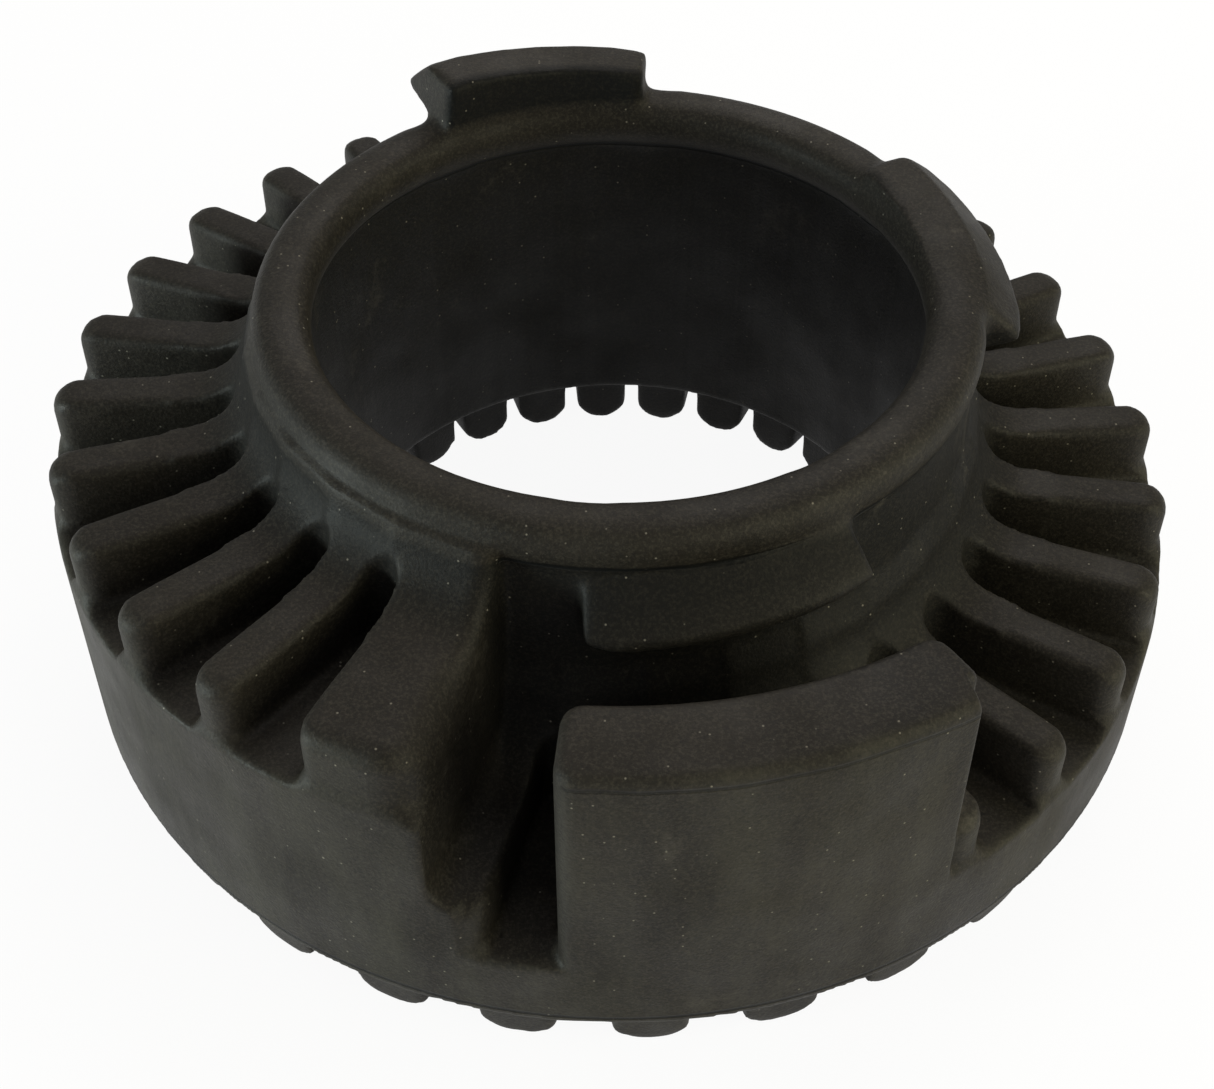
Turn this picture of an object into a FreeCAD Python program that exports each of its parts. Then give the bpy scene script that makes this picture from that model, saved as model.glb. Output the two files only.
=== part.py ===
# Coil spring isolator: one rubber moulding that sits between a coil spring's end and its seat.
# A bored collar stands on a round flange. The flange's top is a ring of radial ribs that step up by one coil
# pitch in one turn, so that they fit the spring's last coil. Barbs on the collar snap over that coil, and a
# block outside it holds its tail. Short ribs under the flange carry the part.
# Frame: millimetres, +Z up, axis on Z, origin on the axis in the plane that the underside ribs stand on.
# Angles are in degrees, counter-clockwise from +X seen from above.

import FreeCAD, Part
import math
import os

# Flange and collar
outer_radius = 75.0
bore_radius = 41.2
underside_height = 8.2
neck_wall = 4.8
neck_top_radius = bore_radius + neck_wall
neck_taper = 1.0
neck_foot_radius = neck_top_radius + neck_taper

# Rounded rim, proud of the bore and of the neck
rim_inner_lip = 2.0
rim_outer_lip = 0.9
rim_thickness = 6.9
rim_inner_radius = bore_radius - rim_inner_lip
rim_outer_radius = neck_top_radius + rim_outer_lip
rim_top_height = 61.5
rim_bottom_height = rim_top_height - rim_thickness
rim_corner_radius = 2.9
rim_corner_flats = 3

# Coil seat: the step where it starts and ends, its rise in one turn, and the sweep up the collar
coil_pitch = 24.5
step_angle = -106.6
seat_start_height = 27.1
seat_sweep_radius = 8.5
seat_sweep_offset = 2.0
seat_sweep_inner_radius = neck_top_radius + seat_sweep_offset
seat_sweep_reach = 13.0
step_foot_radius = 3.6
step_edge_fillet = 2.2

# Top ribs and the grooves between them
ribs_per_turn = 30
rib_width = 6.0
first_rib_angle = -104.0
rib_count = 30
groove_depth = 9.0
groove_end_offset = 3.6
groove_end_radius = neck_top_radius + groove_end_offset
rib_edge_fillet = 1.3

# Raised outer block that holds the coil's tail from outside
block_thickness = 11.2
block_inner_radius = outer_radius - block_thickness
block_top_height = 54.2
block_start_angle = -95.2
block_end_angle = -56.3
block_corner_fillet = 2.5
block_edge_fillet = 1.5

# Barbs on the collar, one each quarter turn
barb_start_angles = (-95.0, -5.0, 85.0)
barb_span = 40.0
barb_reach = 5.3
barb_lip_radius = rim_outer_radius + barb_reach
barb_lip_above_seat = 20.2
barb_lip_thickness = 1.4
barb_top_above_seat = 26.4
barb_underside_rise = 1.8

# Tabs that raise the rim behind the two higher barbs
tab_setback = 0.8
tab_inner_radius = rim_inner_radius + tab_setback

# Underside ribs, a little narrower at the bore
foot_count = 28
first_foot_angle = 3.5
foot_inner_width = 7.8
foot_outer_width = 9.8
foot_inner_setback = 1.8
foot_outer_setback = 0.8
foot_inner_radius = bore_radius + foot_inner_setback
foot_outer_radius = outer_radius - foot_outer_setback
foot_draft = 1.5
foot_edge_chamfer = 2.0

# Depth to which a feature's root is sunk into the rubber that carries it
root_depth = 2.5
# How far a rib's end reaches past the wall before the wall is turned to size
wall_clearance = 0.1
# Where the turned forms' seams lie, clear of the barbs
seam_angle = 60.0

rib_pitch_angle = 360.0 / ribs_per_turn
sweep_foot_radius = seat_sweep_inner_radius + seat_sweep_radius
collar_root_radius = neck_top_radius - root_depth
wall_overrun_radius = outer_radius + root_depth
Z_AXIS = FreeCAD.Vector(0, 0, 1)
ORIGIN = FreeCAD.Vector(0, 0, 0)


def point(r, z):
    """A point of a radial section, at angle zero."""
    return FreeCAD.Vector(r, 0, z)


def line(start, end):
    return Part.LineSegment(start, end).toShape()


def closed_face(first_edge, corners):
    """The face inside one curved edge and the straight lines through the corners, which close it."""
    return Part.Face(Part.Wire([first_edge] + [line(a, b) for a, b in zip(corners, corners[1:])]))


def arc(start, end, middle):
    return Part.Arc(start, middle, end).toShape()


def seat_height(angle):
    """Height of the coil seat at an angle between the step and one turn on."""
    return seat_start_height + coil_pitch * (angle - first_rib_angle) / 360.0


def placed(shape, angle, rise=0.0):
    """A copy of the shape, turned about the axis and lifted."""
    copy = shape.copy()
    copy.rotate(ORIGIN, Z_AXIS, angle)
    copy.translate(FreeCAD.Vector(0, 0, rise))
    return copy


def turned(face, start_angle=seam_angle, span=360.0):
    """The solid that a radial section sweeps about the axis from one angle through a span."""
    return placed(face.revolve(ORIGIN, Z_AXIS, span), start_angle)


def section(*corners):
    """A radial section with straight sides."""
    return Part.Face(Part.makePolygon(list(corners) + [corners[0]]))


def edge_place(edge):
    """Radius, angle and height of an edge's middle."""
    middle = edge.valueAt((edge.FirstParameter + edge.LastParameter) / 2)
    return math.hypot(middle.x, middle.y), math.degrees(math.atan2(middle.y, middle.x)), middle.z


def edge_span(edge):
    """How far an edge runs outwards and upwards between its ends."""
    first = edge.Vertexes[0].Point
    last = edge.Vertexes[-1].Point
    outwards = abs(math.hypot(first.x, first.y) - math.hypot(last.x, last.y))
    return outwards, abs(first.z - last.z)


def make_neck():
    """The bored collar, a straight foot and a slight taper up to the rim."""
    top = rim_top_height - rim_corner_radius
    return turned(section(
        point(bore_radius, underside_height),
        point(neck_foot_radius, underside_height),
        point(neck_foot_radius, seat_start_height),
        point(neck_top_radius, rim_bottom_height),
        point(neck_top_radius, top),
        point(bore_radius, top),
    ))


def make_rim():
    """The rim, a little proud of the bore and of the neck, each corner rounded by a few flats."""
    inner = rim_inner_radius + rim_corner_radius
    outer = rim_outer_radius - rim_corner_radius
    upper = rim_top_height - rim_corner_radius
    lower = rim_bottom_height + rim_corner_radius
    corners = []
    for quarter, (r, z) in enumerate([(outer, upper), (inner, upper), (inner, lower), (outer, lower)]):
        for flat in range(rim_corner_flats + 1):
            angle = math.radians(90.0 * (quarter + flat / rim_corner_flats))
            across = rim_corner_radius * math.cos(angle)
            rise = rim_corner_radius * math.sin(angle)
            corners.append(point(r + across, z + rise))
    return turned(section(*corners))


def sweep_face(depth, outside_radius):
    """Radial section under a level top at height zero: down the collar's sweep, then out to a radius."""
    lean = seat_sweep_radius * (1 - math.sqrt(0.5))
    sweep = arc(
        point(seat_sweep_inner_radius, seat_sweep_radius),
        point(sweep_foot_radius, 0),
        point(seat_sweep_inner_radius + lean, lean),
    )
    return closed_face(sweep, [
        point(sweep_foot_radius, 0),
        point(outside_radius, 0),
        point(outside_radius, -depth),
        point(collar_root_radius, -depth),
        point(collar_root_radius, seat_sweep_reach),
        point(neck_top_radius, seat_sweep_reach),
        point(seat_sweep_inner_radius, seat_sweep_radius),
    ])


def groove_cutter(height):
    """The space between two ribs along +X: a wedge with a round inner end."""
    half_pitch = math.radians(rib_pitch_angle / 2)
    half_width = rib_width / 2
    end_centre = (groove_end_radius - half_width) / (1 - math.sin(half_pitch))
    end_radius = end_centre - groove_end_radius
    near_x = end_centre - end_radius * math.sin(half_pitch)
    near = FreeCAD.Vector(near_x, end_radius * math.cos(half_pitch), 0)
    far_x = wall_overrun_radius
    far = FreeCAD.Vector(far_x, (far_x * math.sin(half_pitch) - half_width) / math.cos(half_pitch), 0)
    end = arc(near, FreeCAD.Vector(near.x, -near.y, 0), point(groove_end_radius, 0))
    outline = closed_face(end, [
        FreeCAD.Vector(near.x, -near.y, 0),
        FreeCAD.Vector(far.x, -far.y, 0),
        far,
        near,
    ])
    cutter = outline.extrude(FreeCAD.Vector(0, 0, 2 * height))
    cutter.translate(FreeCAD.Vector(0, 0, -height))
    return cutter


def straight_sector(face, across_angle, start_angle, end_angle):
    """A stretch of ring between two angles whose radial section runs straight across a given angle."""
    width = 2 * wall_overrun_radius * math.tan(math.radians(rib_pitch_angle))
    bar = face.extrude(FreeCAD.Vector(0, width, 0))
    bar.translate(FreeCAD.Vector(0, -width / 2, 0))
    foot = FreeCAD.Vector(0, 0, bar.BoundBox.ZMin)
    wedge = Part.makeCylinder(2 * outer_radius, bar.BoundBox.ZLength, foot, Z_AXIS, end_angle - start_angle)
    return placed(bar, across_angle).common(placed(wedge, start_angle))


def make_sweep():
    """The sweep up the collar behind one rib along +X, between the round ends of the grooves at its sides."""
    depth = groove_depth + root_depth
    half = rib_pitch_angle / 2
    sector = straight_sector(sweep_face(depth, sweep_foot_radius + root_depth), 0, -half, half)
    cutter = groove_cutter(2 * depth)
    return sector.cut([placed(cutter, -half), placed(cutter, half)])


def make_bar():
    """The bar of one rib along +X, its top at height zero, with its long edges and its outer end rounded."""
    depth = groove_depth + root_depth
    start = sweep_foot_radius - root_depth
    corner = FreeCAD.Vector(start, -rib_width / 2, -depth)
    bar = Part.makeBox(wall_overrun_radius - start, rib_width, depth, corner)
    top_edges = [e for e in bar.Edges if e.BoundBox.ZMin > -0.001 and e.Length > rib_width]
    bar = bar.makeFillet(rib_edge_fillet, top_edges)
    shoulder = outer_radius + wall_clearance - rib_edge_fillet
    lean = rib_edge_fillet * math.sqrt(0.5)
    rounding = arc(
        point(shoulder, 0),
        point(shoulder + rib_edge_fillet, -rib_edge_fillet),
        point(shoulder + lean, lean - rib_edge_fillet),
    )
    profile = closed_face(rounding, [
        point(shoulder + rib_edge_fillet, -rib_edge_fillet),
        point(shoulder + rib_edge_fillet, -depth),
        point(start, -depth),
        point(start, 0),
        point(shoulder, 0),
    ])
    end = profile.extrude(FreeCAD.Vector(0, rib_width, 0))
    end.translate(FreeCAD.Vector(0, -rib_width / 2, 0))
    return bar.common(end)


def make_floor():
    """The rubber under one groove along +X, with a level floor."""
    depth = seat_start_height + coil_pitch
    return turned(section(
        point(collar_root_radius, -depth),
        point(wall_overrun_radius, -depth),
        point(wall_overrun_radius, -groove_depth),
        point(collar_root_radius, -groove_depth),
    ), -rib_pitch_angle / 2, rib_pitch_angle)


def step_foot():
    """The concave rubber in the corner between the step's wall and the first rib, along +X."""
    radius = step_foot_radius
    middle = radius * (1 - math.sqrt(0.5))

    def across(y, z):
        return FreeCAD.Vector(neck_top_radius, y, z)

    outline = closed_face(arc(across(radius, 0), across(0, radius), across(middle, middle)), [
        across(0, radius),
        across(-root_depth, radius),
        across(-root_depth, -root_depth),
        across(radius, -root_depth),
        across(radius, 0),
    ])
    return outline.extrude(FreeCAD.Vector(wall_overrun_radius - neck_top_radius, 0, 0))


def make_block():
    """The raised outer block, with its upright corners and top edges rounded."""
    sector = turned(section(
        point(block_inner_radius, underside_height + root_depth),
        point(outer_radius, underside_height + root_depth),
        point(outer_radius, block_top_height),
        point(block_inner_radius, block_top_height),
    ), block_start_angle, block_end_angle - block_start_angle)
    corners = [e for e in sector.Edges if edge_span(e)[1] > block_top_height / 2]
    sector = sector.makeFillet(block_corner_fillet, corners)
    top_edges = [e for e in sector.Edges if e.BoundBox.ZMin > block_top_height - 0.001]
    return sector.makeFillet(block_edge_fillet, top_edges)


def make_barb(start_angle):
    """A hooked barb, tilted to the coil's slope: a face that slopes out to a lip, then an underside.

    A barb whose top is above the rim carries a tab that raises the rim behind it.
    """
    middle = start_angle + barb_span / 2
    top_height = seat_height(middle) + barb_top_above_seat
    lip = barb_lip_above_seat - barb_top_above_seat
    underside = lip - barb_underside_rise
    corners = [
        point(rim_outer_radius, 0),
        point(barb_lip_radius, lip + barb_lip_thickness),
        point(barb_lip_radius, lip),
        point(rim_outer_radius, underside),
        point(collar_root_radius, underside),
    ]
    if top_height > rim_top_height:
        tab_foot = (rim_bottom_height + rim_top_height) / 2 - top_height
        corners += [
            point(collar_root_radius, tab_foot),
            point(tab_inner_radius, tab_foot),
            point(tab_inner_radius, 0),
        ]
    else:
        corners.append(point(collar_root_radius, 0))
    barb = turned(section(*corners), -barb_span / 2, barb_span)
    slope = math.degrees(math.atan(coil_pitch / (2 * math.pi * rim_outer_radius)))
    barb.rotate(ORIGIN, FreeCAD.Vector(1, 0, 0), slope)
    return placed(barb, middle, top_height)


def make_foot():
    """One underside rib along +X, with a slight draft outside and its long bottom edges bevelled."""
    height = underside_height + root_depth
    outline = [
        FreeCAD.Vector(foot_inner_radius, -foot_inner_width / 2, 0),
        FreeCAD.Vector(foot_outer_radius, -foot_outer_width / 2, 0),
        FreeCAD.Vector(foot_outer_radius, foot_outer_width / 2, 0),
        FreeCAD.Vector(foot_inner_radius, foot_inner_width / 2, 0),
    ]
    foot = Part.Face(Part.makePolygon(outline + [outline[0]])).extrude(FreeCAD.Vector(0, 0, height))
    bottom = [e for e in foot.Edges if e.BoundBox.ZMax < 0.001 and edge_span(e)[0] > foot_outer_width]
    foot = foot.makeChamfer(foot_edge_chamfer, bottom)
    outside = section(
        point(foot_outer_radius - foot_draft, -root_depth),
        point(foot_outer_radius - foot_draft, 0),
        point(foot_outer_radius, height),
        point(wall_overrun_radius, height),
        point(wall_overrun_radius, -root_depth),
    ).extrude(FreeCAD.Vector(0, 2 * foot_outer_width, 0))
    outside.translate(FreeCAD.Vector(0, -foot_outer_width, 0))
    return foot.cut(outside)


def round_step(body):
    """Rounds the step's top edge."""
    top = seat_start_height + coil_pitch * (1 - 2 / ribs_per_turn)
    edges = []
    for edge in body.Edges:
        radius, angle, height = edge_place(edge)
        on_step = abs(angle - step_angle) < 0.1 and radius > sweep_foot_radius
        if on_step and height > top and edge_span(edge)[0] > 0:
            edges.append(edge)
    return body.makeFillet(step_edge_fillet, edges)


def make_seat():
    """The flange: its ribs and grooves step up round the collar, and the wall is turned to size."""
    rib = make_bar().fuse(make_sweep())
    floor = make_floor()
    depth = seat_start_height + coil_pitch
    last_rib_angle = first_rib_angle + rib_pitch_angle * (rib_count - 1)
    pieces = []
    for index in range(rib_count):
        angle = first_rib_angle + rib_pitch_angle * index
        pieces.append(placed(rib, angle, seat_height(angle)))
    for index in range(rib_count - 1):
        angle = first_rib_angle + rib_pitch_angle * (index + 0.5)
        pieces.append(placed(floor, angle, seat_height(angle)))
    face = sweep_face(depth, wall_overrun_radius)
    start = straight_sector(face, first_rib_angle, step_angle, first_rib_angle)
    end = straight_sector(face, last_rib_angle, last_rib_angle, step_angle + 360.0)
    pieces.append(placed(start, 0, seat_height(first_rib_angle)))
    pieces.append(placed(end, 0, seat_height(last_rib_angle)))
    pieces.append(placed(step_foot(), step_angle, seat_height(first_rib_angle)))
    rim_middle = (rim_bottom_height + rim_top_height) / 2
    above_seat = seat_start_height + coil_pitch + root_depth
    wall = turned(section(
        point(bore_radius, underside_height),
        point(outer_radius, underside_height),
        point(outer_radius, above_seat),
        point(sweep_foot_radius, above_seat),
        point(sweep_foot_radius, rim_middle),
        point(bore_radius, rim_middle),
    ))
    return round_step(pieces[0].fuse(pieces[1:]).common(wall).removeSplitter().Solids[0])


def make_isolator():
    """The whole moulding."""
    foot = make_foot()
    features = [make_neck(), make_rim(), make_block()]
    features += [make_barb(angle) for angle in barb_start_angles]
    for index in range(foot_count):
        features.append(placed(foot, first_foot_angle + 360.0 * index / foot_count))
    return make_seat().fuse(features).Solids[0]


def main():
    os.makedirs("parts", exist_ok=True)
    isolator = make_isolator()
    print("valid", isolator.isValid(), "faces", len(isolator.Faces), "volume", round(isolator.Volume))
    isolator.exportStep("parts/rubber_isolator.step")


main()
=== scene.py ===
"""Coil spring isolator in black moulded rubber, lying on a plain white floor under soft studio light."""
import math

import bpy
from mathutils import Matrix, Vector


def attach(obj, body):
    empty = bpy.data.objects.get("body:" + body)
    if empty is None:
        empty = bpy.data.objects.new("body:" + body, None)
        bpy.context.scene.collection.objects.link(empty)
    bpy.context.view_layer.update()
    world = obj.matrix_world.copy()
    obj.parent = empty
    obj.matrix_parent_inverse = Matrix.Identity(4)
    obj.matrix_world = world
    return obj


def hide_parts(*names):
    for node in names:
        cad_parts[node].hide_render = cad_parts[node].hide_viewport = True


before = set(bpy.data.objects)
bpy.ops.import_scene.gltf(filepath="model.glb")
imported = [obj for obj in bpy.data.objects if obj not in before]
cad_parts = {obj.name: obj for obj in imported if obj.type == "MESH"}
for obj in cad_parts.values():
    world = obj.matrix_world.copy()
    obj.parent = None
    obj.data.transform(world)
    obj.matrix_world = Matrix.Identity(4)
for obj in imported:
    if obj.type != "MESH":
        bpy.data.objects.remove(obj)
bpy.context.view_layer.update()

MM = 0.001

# The camera, in the photograph's place: metres, degrees and image pixels
IMAGE_WIDTH = 1214
FOCAL_PIXELS = 1943.5
CAMERA_PLACE = Vector((0.0, -0.1982, 0.2129))
CAMERA_PITCH = 45.17
CAMERA_YAW = -0.41
CLIP_START = 0.01
SENSOR_WIDTH = 36.0

# The surround: the lamps' common aim and the floor in metres, and the light that reaches the part
LAMP_AIM = Vector((0.0, 0.0, 0.03))
WHITE = (1.0, 1.0, 1.0, 1.0)
WORLD_COLOUR = (1.0, 0.985, 0.96, 1.0)
WORLD_STRENGTH = 0.38
FLOOR_COLOUR = (0.9, 0.9, 0.9, 1.0)
FLOOR_HALF_WIDTH = 3.0
FLOOR_OWN_SHARE = 0.07

# The rubber's colours, with its painted shade and the outer wall's painted light
BLACK = (0.0066, 0.0056, 0.0042, 1.0)
GREY = (0.0225, 0.0195, 0.0150, 1.0)
# Painted shade in the recesses and in the parting lines' creases, and also the fine pits' own dark
SHADE_AND_PIT_COLOUR = (0.0026, 0.0031, 0.0034, 1.0)
# Painted light on the outer wall's lit side
WALL_LIGHT_COLOUR = (0.0330, 0.0315, 0.0235, 1.0)
PALE_GRAIN = (0.0480, 0.0430, 0.0330, 1.0)
DUST = (0.22, 0.205, 0.17, 1.0)

# The visible skin: how finely the moulding is redrawn, how far it is softened, and its triangle budget
SKIN_VOXEL = 0.5 * MM
SMOOTHING_STEP = 0.5
SKIN_SMOOTHING = 6
FOOT_SMOOTHING = 14
BARB_SMOOTHING = 45
SKIN_TRIANGLES = 190000

# The moulding's own sizes, in millimetres and degrees, as in the part's source
WALL_RADIUS = 75.0
WALL_FOOT_HEIGHT = 8.2
BORE_RADIUS = 41.2
RIM_OUTER_RADIUS = 46.9
RIM_FOOT_HEIGHT = 54.6
RIM_TOP_HEIGHT = 61.5
RIBS_PER_TURN = 30
FIRST_RIB_ANGLE = -104.0
STEP_TURN = 357.4
SEAT_START_HEIGHT = 27.1
COIL_PITCH = 24.5
RIB_WIDTH = 6.0
GROOVE_DEPTH = 9.0
BLOCK_START_TURN = 7.0
BLOCK_END_TURN = 46.0
BLOCK_TOP_HEIGHT = 54.2
FOOT_COUNT = 28
FIRST_FOOT_ANGLE = 3.5
FOOT_INNER_RADIUS = 43.0
FOOT_OUTER_RADIUS = 74.2
FOOT_INNER_WIDTH = 7.8
FOOT_OUTER_WIDTH = 9.8
BARB_END_ANGLES = (-95.0, -55.0, -5.0, 35.0, 85.0, 125.0)
BARB_SPAN = 40.0
BARB_LIP_RADIUS = 52.2
BARB_LIP_ABOVE_SEAT = 20.2

# How the moulded rubber is rounder than the plain solid, in millimetres
RIB_END_INSET = 0.6
RIB_CORNER_RADIUS = 2.6
RIB_END_RADIUS = 2.4
RIB_END_REACH = 7.0
TOOTH_CORNER_RADIUS = 6.0
TOOTH_EDGE_RADIUS = 5.0
TOOTH_EDGE_REACH = 11.0
WALL_LIP_DROP = 0.9
WALL_LIP_REACH = 3.0
FOOT_ROUNDNESS = 1.08
FRONT_BARB_CORNER = 3.2

# Where that rounding acts: radii and heights in millimetres, turns and angles in degrees
FOOT_TOP_HEIGHT = WALL_FOOT_HEIGHT - 1.0
BEYOND_STEP_TURN = STEP_TURN + 0.4
BARB_ZONE_RADIUS = 54.0
BARB_ZONE_HEIGHT = 44.0
BARB_CORNER_MARGIN = 1.0
BARB_ROOT_RADIUS = RIM_OUTER_RADIUS - 0.4
BARB_FREE_RADIUS = RIM_OUTER_RADIUS + 1.2
TOOTH_EDGE_RADII = (54.0, 62.0)
ABOVE_GROOVE_FLOOR = (0.1, 1.8)
WALL_LIP_RADII = (WALL_RADIUS - 1.5, WALL_RADIUS - 0.6)
BARB_END_FADE = (2.5, 6.5)
FOOT_FADE_SHARE = 0.66

# Where the painted shade and the outer wall's painted light lie, in millimetres: a mask is 0 at the first
# value and 1 at the second
INSIDE_BORE = (BORE_RADIUS + 0.9, BORE_RADIUS - 0.3)
BELOW_BORE_LINE = (RIM_FOOT_HEIGHT + 0.8, RIM_FOOT_HEIGHT + 0.2)
BELOW_RIM = (RIM_FOOT_HEIGHT + 2.2, RIM_FOOT_HEIGHT + 1.4)
ABOVE_RIM = (RIM_TOP_HEIGHT + 0.2, RIM_TOP_HEIGHT + 1.2)
AT_NECK = (55.0, 49.0)
ON_WALL = (WALL_RADIUS - 2.2, WALL_RADIUS - 0.4)

# The parting lines, darkened with painted crease shade, in millimetres: each ring's radius, height and half
# width
RIM_LINE = (RIM_OUTER_RADIUS - 0.4, RIM_FOOT_HEIGHT + 1.5, 0.5)
BORE_LINE = (BORE_RADIUS - 0.2, RIM_FOOT_HEIGHT + 0.2, 0.6)
WALL_LINE = (WALL_RADIUS, WALL_FOOT_HEIGHT + 0.6, 0.35)
CREASE_LINE = (WALL_RADIUS - 0.2, BLOCK_TOP_HEIGHT - 1.9, 0.40)
CREASE_WOBBLE = 0.5
LINE_CORE = 0.4


def place_camera():
    """A camera that stands where the photograph was taken."""
    pitch = math.radians(CAMERA_PITCH)
    yaw = math.radians(CAMERA_YAW)
    forward = Vector((math.sin(yaw) * math.cos(pitch), math.cos(yaw) * math.cos(pitch), -math.sin(pitch)))
    right = Vector((math.cos(yaw), -math.sin(yaw), 0.0))
    up = right.cross(forward)
    data = bpy.data.cameras.new("camera")
    data.sensor_fit = "HORIZONTAL"
    data.sensor_width = SENSOR_WIDTH
    data.lens = FOCAL_PIXELS / IMAGE_WIDTH * SENSOR_WIDTH
    data.clip_start = CLIP_START
    camera = bpy.data.objects.new("camera", data)
    bpy.context.collection.objects.link(camera)
    turn = Matrix((right, up, -forward)).transposed().to_4x4()
    camera.matrix_world = Matrix.Translation(CAMERA_PLACE) @ turn
    bpy.context.scene.camera = camera


class Nodes:
    """Short calls for building the node tree of a material or a world."""

    def __init__(self, owner, output_kind):
        owner.use_nodes = True
        self.owner = owner
        self.tree = owner.node_tree
        self.tree.nodes.clear()
        self.output = self.add(output_kind)

    def feed(self, socket, value):
        """Gives an input socket a plain value, or links another node's output socket to it."""
        if isinstance(value, bpy.types.NodeSocket):
            self.tree.links.new(value, socket)
        else:
            socket.default_value = value

    def add(self, kind, inputs=None, **settings):
        """Adds a node with its settings, and feeds its inputs, which are given by name or number."""
        node = self.tree.nodes.new("ShaderNode" + kind)
        for key, value in settings.items():
            setattr(node, key, value)
        for key, value in (inputs or {}).items():
            self.feed(node.inputs[key], value)
        return node

    def surface(self, shader):
        """Ends the tree with a shader, and gives back what the tree belongs to."""
        self.tree.links.new(shader.outputs[0], self.output.inputs["Surface"])
        return self.owner

    def math(self, operation, first, second=0.0):
        """A sum on two numbers or fields."""
        return self.add("Math", {0: first, 1: second}, operation=operation).outputs[0]

    def highest(self, first, *others):
        """The highest of several fields at each point."""
        for other in others:
            first = self.math("MAXIMUM", first, other)
        return first

    def remap(self, value, low, high, to_low=0.0, to_high=1.0):
        """A field's stretch from low to high, spread over another range and clamped."""
        inputs = {"Value": value, "From Min": low, "From Max": high, "To Min": to_low, "To Max": to_high}
        return self.add("MapRange", inputs).outputs["Result"]

    def mask(self, value, edge):
        """0 on one side of an edge and 1 on the other, its two ends in millimetres."""
        return self.remap(value, edge[0] * MM, edge[1] * MM)

    def noise(self, place, cycles, detail, roughness=0.5):
        """A noise field over the surface, from 0 to 1, at so many cycles a metre."""
        inputs = {"Vector": place, "Scale": cycles, "Detail": detail, "Roughness": roughness}
        return self.add("TexNoise", inputs).outputs["Fac"]

    def patches(self, place, cycles, detail, roughness, low, high):
        """Noise made into patches: 0 where it is at low and 1 where it is at high."""
        return self.remap(self.noise(place, cycles, detail, roughness), low, high)

    def specks(self, place, cycles, size, rarity):
        """Scattered dots, 1 inside a dot: a cell's middle, where the cell's random number is rare enough."""
        cells = self.add("TexVoronoi", {"Vector": place, "Scale": cycles, "Randomness": 1.0})
        near = self.remap(cells.outputs["Distance"], size, size * 0.5)
        parts = self.add("SeparateColor", {"Color": cells.outputs["Color"]})
        chosen = self.remap(parts.outputs[0], rarity, rarity + 0.01)
        return self.math("MULTIPLY", near, chosen)

    def layer(self, under, over, mask, strength):
        """A colour laid over another where a mask shows it, up to a given strength."""
        share = self.math("MULTIPLY", mask, strength)
        return self.add("Mix", {0: share, 6: under, 7: over}, data_type="RGBA").outputs[2]

    def bump(self, height, strength, depth, under=None, invert=False):
        """A bumped surface direction, its depth in millimetres, on top of another one."""
        inputs = {"Height": height, "Strength": strength, "Distance": depth * MM}
        if under is not None:
            inputs["Normal"] = under
        return self.add("Bump", inputs, invert=invert).outputs[0]

    def rays(self, *kinds):
        """1 for light rays of the given kinds, and 0 for all others."""
        path = self.add("LightPath")
        return self.highest(*(path.outputs[kind] for kind in kinds))


def ring_line(nodes, radius, height, line):
    """A thin line all round, 1 on a ring whose radius, height and half width are given in millimetres."""
    ring_radius, ring_height, width = line
    across = nodes.math("SUBTRACT", radius, ring_radius * MM)
    up = nodes.math("SUBTRACT", height, ring_height * MM)
    far = nodes.highest(nodes.math("ABSOLUTE", across), nodes.math("ABSOLUTE", up))
    return nodes.remap(far, width * MM, width * LINE_CORE * MM)


def parting_lines(nodes, place, radius, height):
    """The mould's parting lines at the rim, in the bore and low on the wall, and the block's faint crease, as
    a mask for their painted crease shade and their pressed-in relief.
    """
    wander = nodes.noise(place, cycles=60.0, detail=2.0)
    wobble = nodes.remap(wander, 0.3, 0.7, to_low=-CREASE_WOBBLE * MM, to_high=CREASE_WOBBLE * MM)
    crease = ring_line(nodes, radius, nodes.math("ADD", height, wobble), CREASE_LINE)
    full_lines = [ring_line(nodes, radius, height, line) for line in (RIM_LINE, BORE_LINE, WALL_LINE)]
    return nodes.highest(*full_lines, nodes.math("MULTIPLY", crease, 0.6))


def recess_shade_mask(nodes, radius, height):
    """Where painted shade goes: 1 in the bore and behind the tabs, and less round the neck under the rim."""
    inside = nodes.mask(radius, INSIDE_BORE)
    bore = nodes.math("MULTIPLY", inside, nodes.mask(height, BELOW_BORE_LINE))
    tab_back = nodes.math("MULTIPLY", inside, nodes.mask(height, ABOVE_RIM))
    outside = nodes.math("SUBTRACT", nodes.mask(radius, AT_NECK), inside)
    neck = nodes.math("MULTIPLY", outside, nodes.mask(height, BELOW_RIM))
    return nodes.highest(bore, tab_back, nodes.math("MULTIPLY", neck, 0.75))


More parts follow.
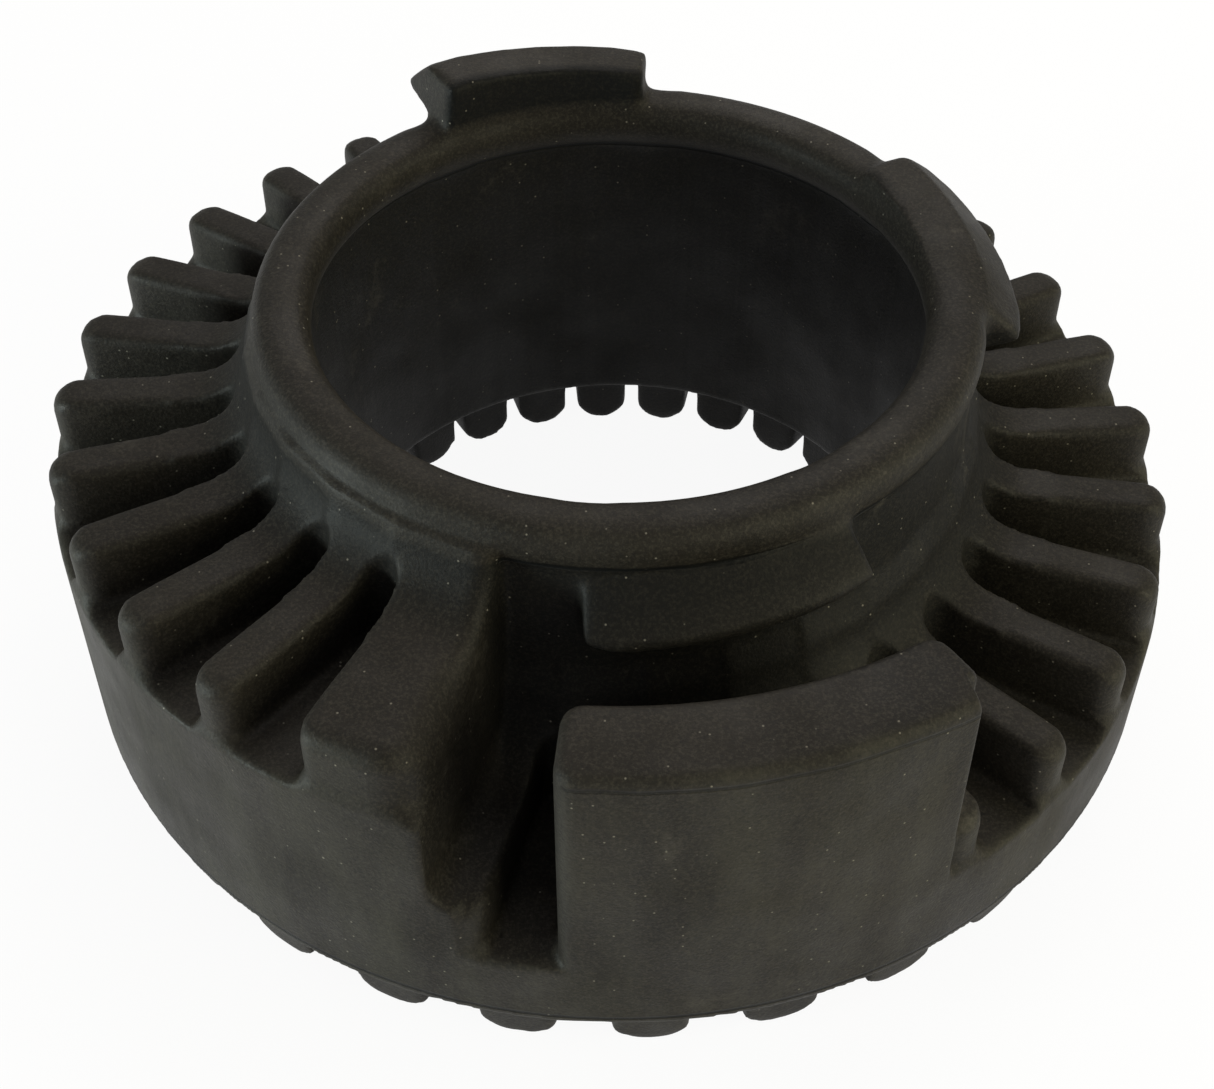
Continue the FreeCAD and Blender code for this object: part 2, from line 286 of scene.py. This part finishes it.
def rubber_colour(nodes, place, radius, recess_shade, lines):
    """Black rubber under bloom, painted light on the outer wall in upright streaks, painted shade in the
    recesses, pits, pale grain, scuffs, painted crease shade along the parting lines, and specks.
    """
    blotch = nodes.patches(place, cycles=28.0, detail=3.0, roughness=0.6, low=0.35, high=0.68)
    bloom = nodes.patches(place, cycles=150.0, detail=4.0, roughness=0.7, low=0.45, high=0.75)
    upright = nodes.add("Mapping", {"Vector": place, "Scale": (1.0, 1.0, 0.22)}).outputs[0]
    streak = nodes.patches(upright, cycles=110.0, detail=4.0, roughness=0.6, low=0.40, high=0.70)
    pits = nodes.patches(place, cycles=1800.0, detail=2.0, roughness=0.8, low=0.48, high=0.34)
    grain = nodes.patches(place, cycles=2300.0, detail=2.0, roughness=0.8, low=0.46, high=0.68)
    scuff = nodes.patches(place, cycles=75.0, detail=6.0, roughness=0.8, low=0.60, high=0.78)
    fine = nodes.specks(place, cycles=900.0, size=0.15, rarity=0.84)
    coarse = nodes.specks(place, cycles=300.0, size=0.070, rarity=0.95)
    wall_light_share = nodes.remap(streak, 0.0, 1.0, to_low=0.05, to_high=0.80)
    paleness = nodes.remap(recess_shade, 0.0, 1.0, to_low=0.42, to_high=0.15)
    colour = nodes.layer(BLACK, GREY, blotch, strength=0.45)
    colour = nodes.layer(colour, GREY, bloom, strength=0.30)
    # Painted light: the outer wall lightened in upright streaks, as its lit side
    colour = nodes.layer(colour, WALL_LIGHT_COLOUR, nodes.mask(radius, ON_WALL), strength=wall_light_share)
    # Painted shade in the bore, behind the tabs and round the neck under the rim
    colour = nodes.layer(colour, SHADE_AND_PIT_COLOUR, recess_shade, strength=0.9)
    colour = nodes.layer(colour, SHADE_AND_PIT_COLOUR, pits, strength=0.40)
    colour = nodes.layer(colour, PALE_GRAIN, grain, strength=paleness)
    colour = nodes.layer(colour, DUST, scuff, strength=0.15)
    # Painted shade in the creases of the parting lines and of the block's crease
    colour = nodes.layer(colour, SHADE_AND_PIT_COLOUR, lines, strength=0.8)
    return nodes.layer(colour, DUST, nodes.highest(fine, coarse), strength=0.6)


def rubber_relief(nodes, place, lines):
    """The surface's fine relief: soft waves, the parting lines pressed in, and grain on top."""
    waves = nodes.noise(place, cycles=190.0, detail=4.0)
    waved = nodes.bump(waves, strength=0.35, depth=0.4)
    lined = nodes.bump(lines, strength=0.7, depth=0.3, under=waved, invert=True)
    grain = nodes.noise(place, cycles=2600.0, detail=3.0, roughness=0.6)
    return nodes.bump(grain, strength=0.8, depth=0.09, under=lined)


def rubber_material():
    """Matt black moulded rubber, worked out from each point's place, radius and height on the part."""
    nodes = Nodes(bpy.data.materials.new("rubber"), "OutputMaterial")
    place = nodes.add("TexCoord").outputs["Object"]
    parts = nodes.add("SeparateXYZ", {"Vector": place}).outputs
    flat = nodes.add("CombineXYZ", {"X": parts["X"], "Y": parts["Y"]}).outputs[0]
    radius = nodes.add("VectorMath", {0: flat}, operation="LENGTH").outputs["Value"]
    height = parts["Z"]
    recess_shade = recess_shade_mask(nodes, radius, height)
    lines = parting_lines(nodes, place, radius, height)
    polish = nodes.noise(place, cycles=90.0, detail=5.0)
    shader = nodes.add("BsdfPrincipled", {
        "Base Color": rubber_colour(nodes, place, radius, recess_shade, lines),
        "Roughness": nodes.remap(polish, 0.3, 0.7, to_low=0.50, to_high=0.68),
        "Specular IOR Level": nodes.remap(recess_shade, 0.0, 1.0, to_low=0.17, to_high=0.11),
        "Normal": rubber_relief(nodes, place, lines),
    })
    return nodes.surface(shader)


def apply_modifier(piece, kind, **settings):
    """Adds a modifier and makes its result the piece's own mesh."""
    modifier = piece.modifiers.new(kind.lower(), kind)
    for key, value in settings.items():
        setattr(modifier, key, value)
    graph = bpy.context.evaluated_depsgraph_get()
    mesh = bpy.data.meshes.new_from_object(piece.evaluated_get(graph))
    piece.modifiers.clear()
    piece.data = mesh


def clamp(value):
    """A value kept from 0 to 1."""
    return min(max(value, 0.0), 1.0)


def smooth_step(value, low, high):
    """From 0 at low to 1 at high, with soft ends."""
    share = clamp((value - low) / (high - low))
    return share * share * (3.0 - 2.0 * share)


def round_over(distance, radius):
    """How far a rounded edge falls back, at a distance into its radius."""
    into = min(max(distance, 0.0), radius)
    return radius - math.sqrt(radius * radius - into * into)


def rounded_rib_end(radius, turn, height):
    """A point's radius and height once the ribs' outer ends and the tooth's edge are rounded."""
    pitch = 360.0 / RIBS_PER_TURN
    last = RIBS_PER_TURN - 1
    index = min(round(turn / pitch), last)
    beside = radius * math.sin(math.radians(turn - index * pitch))
    top = SEAT_START_HEIGHT + COIL_PITCH * index / RIBS_PER_TURN
    if index == last and beside > 0.0:
        side = radius * math.sin(math.radians(STEP_TURN - index * pitch))
        near = round_over(beside - side + TOOTH_CORNER_RADIUS, TOOTH_CORNER_RADIUS)
        drop = round_over(beside - side + TOOTH_EDGE_RADIUS, TOOTH_EDGE_RADIUS)
        drop *= smooth_step(radius, *TOOTH_EDGE_RADII) * clamp((height - top) / TOOTH_EDGE_REACH + 1.0)
    else:
        near = round_over(abs(beside) - RIB_WIDTH / 2 + RIB_CORNER_RADIUS, RIB_CORNER_RADIUS)
        drop = 0.0
    reach = clamp((radius - WALL_RADIUS) / RIB_END_REACH + 1.0)
    floor = top - GROOVE_DEPTH
    above = smooth_step(height, floor + ABOVE_GROOVE_FLOOR[0], floor + ABOVE_GROOVE_FLOOR[1])
    inset = above * (RIB_END_INSET + near) + round_over(height - top + RIB_END_RADIUS, RIB_END_RADIUS)
    return radius - reach * inset, height - drop


def rounded_barb_corner(radius, angle, height):
    """A point's angle and height once the front barb's lower start corner is rounded."""
    start = BARB_END_ANGLES[0]
    slope = COIL_PITCH / 360.0
    middle = start + BARB_SPAN / 2
    lip_height = SEAT_START_HEIGHT + slope * (middle - FIRST_RIB_ANGLE) + BARB_LIP_ABOVE_SEAT
    along = math.radians(angle - start) * BARB_LIP_RADIUS
    above = height - lip_height - slope * (angle - middle)
    corner = FRONT_BARB_CORNER
    near = -BARB_CORNER_MARGIN < along < corner and -BARB_CORNER_MARGIN < above < corner
    if radius < BARB_ROOT_RADIUS or not near:
        return angle, height
    far = math.hypot(corner - along, corner - above)
    pull = max(1.0 - corner / far, 0.0) * smooth_step(radius, BARB_ROOT_RADIUS, BARB_FREE_RADIUS)
    moved = (corner - along) * pull
    return angle + math.degrees(moved / BARB_LIP_RADIUS), height + (corner - above) * pull


def foot_underside(radius, angle):
    """How high a round-bottomed underside rib has curved, at a radius and an angle in degrees."""
    pitch = 360.0 / FOOT_COUNT
    aside = (angle - FIRST_FOOT_ANGLE + pitch / 2) % pitch - pitch / 2
    outwards = (radius - FOOT_INNER_RADIUS) / (FOOT_OUTER_RADIUS - FOOT_INNER_RADIUS)
    half = (FOOT_INNER_WIDTH + (FOOT_OUTER_WIDTH - FOOT_INNER_WIDTH) * outwards) / 2
    return round_over(abs(radius * math.sin(math.radians(aside))), half * FOOT_ROUNDNESS)


def set_point(vertex, radius, angle, height):
    """Moves a vertex to a radius and a height in millimetres, at an angle in radians."""
    vertex.co = (radius * math.cos(angle) * MM, radius * math.sin(angle) * MM, height * MM)


def shape_skin(mesh):
    """Rounds the feet, the front barb's corner, the ribs' ends and the tooth, and draws the wall's lip."""
    for vertex in mesh.vertices:
        x, y, height = (value / MM for value in vertex.co)
        radius = math.hypot(x, y)
        angle = math.atan2(y, x)
        if height < FOOT_TOP_HEIGHT:
            height = min(max(height, foot_underside(radius, math.degrees(angle))), FOOT_TOP_HEIGHT)
            vertex.co.z = height * MM
        if radius < BARB_ZONE_RADIUS:
            if height > BARB_ZONE_HEIGHT:
                turned, height = rounded_barb_corner(radius, math.degrees(angle), height)
                set_point(vertex, radius, math.radians(turned), height)
            continue
        turn = (math.degrees(angle) - FIRST_RIB_ANGLE) % 360.0
        at_block = BLOCK_START_TURN < turn < BLOCK_END_TURN
        if not at_block and turn <= BEYOND_STEP_TURN:
            radius, height = rounded_rib_end(radius, turn, height)
        lip = smooth_step(radius, *WALL_LIP_RADII)
        low = 1.0 - smooth_step(height, WALL_FOOT_HEIGHT, WALL_FOOT_HEIGHT + WALL_LIP_REACH)
        height -= WALL_LIP_DROP * lip * low
        set_point(vertex, radius, angle, height)


def make_group(piece, name, weight):
    """A vertex group with each vertex's weight worked out from its place."""
    group = piece.vertex_groups.new(name=name)
    for vertex in piece.data.vertices:
        share = weight(vertex.co)
        if share > 0.0:
            group.add([vertex.index], share, "REPLACE")


def foot_weight(place):
    """1 low on the underside ribs, fading out at the wall's lip."""
    lip_height = WALL_FOOT_HEIGHT - WALL_LIP_DROP
    return 1.0 - smooth_step(place.z / MM, lip_height * FOOT_FADE_SHARE, lip_height)


def barb_end_weight(place):
    """1 at the barbs' and tabs' ends, fading out along them."""
    radius = math.hypot(place.x, place.y) / MM
    if radius > BARB_ZONE_RADIUS or place.z < BARB_ZONE_HEIGHT * MM:
        return 0.0
    angle = math.degrees(math.atan2(place.y, place.x))
    return 1.0 - smooth_step(min(abs(angle - end) for end in BARB_END_ANGLES), *BARB_END_FADE)


def triangle_count(mesh):
    """How many triangles a mesh's faces make."""
    return sum(len(polygon.vertices) - 2 for polygon in mesh.polygons)


def make_skin(node):
    """The moulding as it shows: the solid redrawn finely, with its edges softened as rubber moulds them."""
    skin = bpy.data.objects.new("rubber_moulding", node.data.copy())
    skin.matrix_world = node.matrix_world.copy()
    bpy.context.collection.objects.link(skin)
    apply_modifier(skin, "REMESH", mode="VOXEL", voxel_size=SKIN_VOXEL, adaptivity=0.0)
    shape_skin(skin.data)
    make_group(skin, "feet", foot_weight)
    make_group(skin, "barb_ends", barb_end_weight)
    for group, rounds in (("", SKIN_SMOOTHING), ("feet", FOOT_SMOOTHING), ("barb_ends", BARB_SMOOTHING)):
        apply_modifier(skin, "SMOOTH", factor=SMOOTHING_STEP, iterations=rounds, vertex_group=group)
    skin.vertex_groups.clear()
    share = SKIN_TRIANGLES / triangle_count(skin.data)
    if share < 1.0:
        apply_modifier(skin, "DECIMATE", decimate_type="COLLAPSE", ratio=share)
    skin.data.shade_smooth()
    return skin


def floor_material():
    """A floor that shows white to the camera, and keeps a small share of its own light and shadow."""
    nodes = Nodes(bpy.data.materials.new("floor_white"), "OutputMaterial")
    seen = nodes.rays("Is Camera Ray", "Is Glossy Ray", "Is Transmission Ray")
    plain = nodes.add("BsdfDiffuse", {"Color": FLOOR_COLOUR}).outputs[0]
    bright = nodes.add("Emission", {"Color": WHITE, "Strength": 1.0}).outputs[0]
    share = nodes.math("MULTIPLY", seen, 1.0 - FLOOR_OWN_SHARE)
    return nodes.surface(nodes.add("MixShader", {0: share, 1: plain, 2: bright}))


def make_floor():
    """A wide white floor under the part's feet."""
    half = FLOOR_HALF_WIDTH
    mesh = bpy.data.meshes.new("floor")
    corners = [(-half, -half, 0.0), (half, -half, 0.0), (half, half, 0.0), (-half, half, 0.0)]
    mesh.from_pydata(corners, [], [(0, 1, 2, 3)])
    floor = bpy.data.objects.new("floor", mesh)
    bpy.context.collection.objects.link(floor)
    mesh.materials.append(floor_material())


def set_world():
    """A white surround: full white to the camera, and a plain soft light for the part."""
    world = bpy.data.worlds.new("studio")
    bpy.context.scene.world = world
    nodes = Nodes(world, "OutputWorld")
    seen = nodes.rays("Is Camera Ray", "Is Transmission Ray")
    light = nodes.add("Background", {"Color": WORLD_COLOUR, "Strength": WORLD_STRENGTH}).outputs[0]
    bright = nodes.add("Background", {"Color": WHITE, "Strength": 1.0}).outputs[0]
    nodes.surface(nodes.add("MixShader", {0: seen, 1: light, 2: bright}))


def add_lamp(name, place, size, power, colour):
    """A square soft lamp that faces the part: its place and size in metres, its power in watts."""
    data = bpy.data.lights.new(name, "AREA")
    data.size = size
    data.energy = power
    data.color = colour
    lamp = bpy.data.objects.new(name, data)
    lamp.location = place
    lamp.rotation_euler = (LAMP_AIM - Vector(place)).to_track_quat("-Z", "Y").to_euler()
    bpy.context.collection.objects.link(lamp)


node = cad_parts["rubber_isolator"]
skin = make_skin(node)
skin.data.materials.clear()
skin.data.materials.append(rubber_material())
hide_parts("rubber_isolator")
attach(skin, "root")

make_floor()
set_world()
place_camera()
add_lamp("overhead", place=(0.10, 0.50, 0.68), size=0.6, power=3.6, colour=(1.0, 0.94, 0.88))
add_lamp("warm_right", place=(0.62, -0.35, 0.22), size=0.7, power=6.0, colour=(1.0, 0.95, 0.66))
add_lamp("cool_left", place=(-0.75, -0.24, 0.06), size=0.2, power=7.0, colour=(0.88, 1.0, 0.96))

scene = bpy.context.scene
scene.view_settings.view_transform = "Standard"
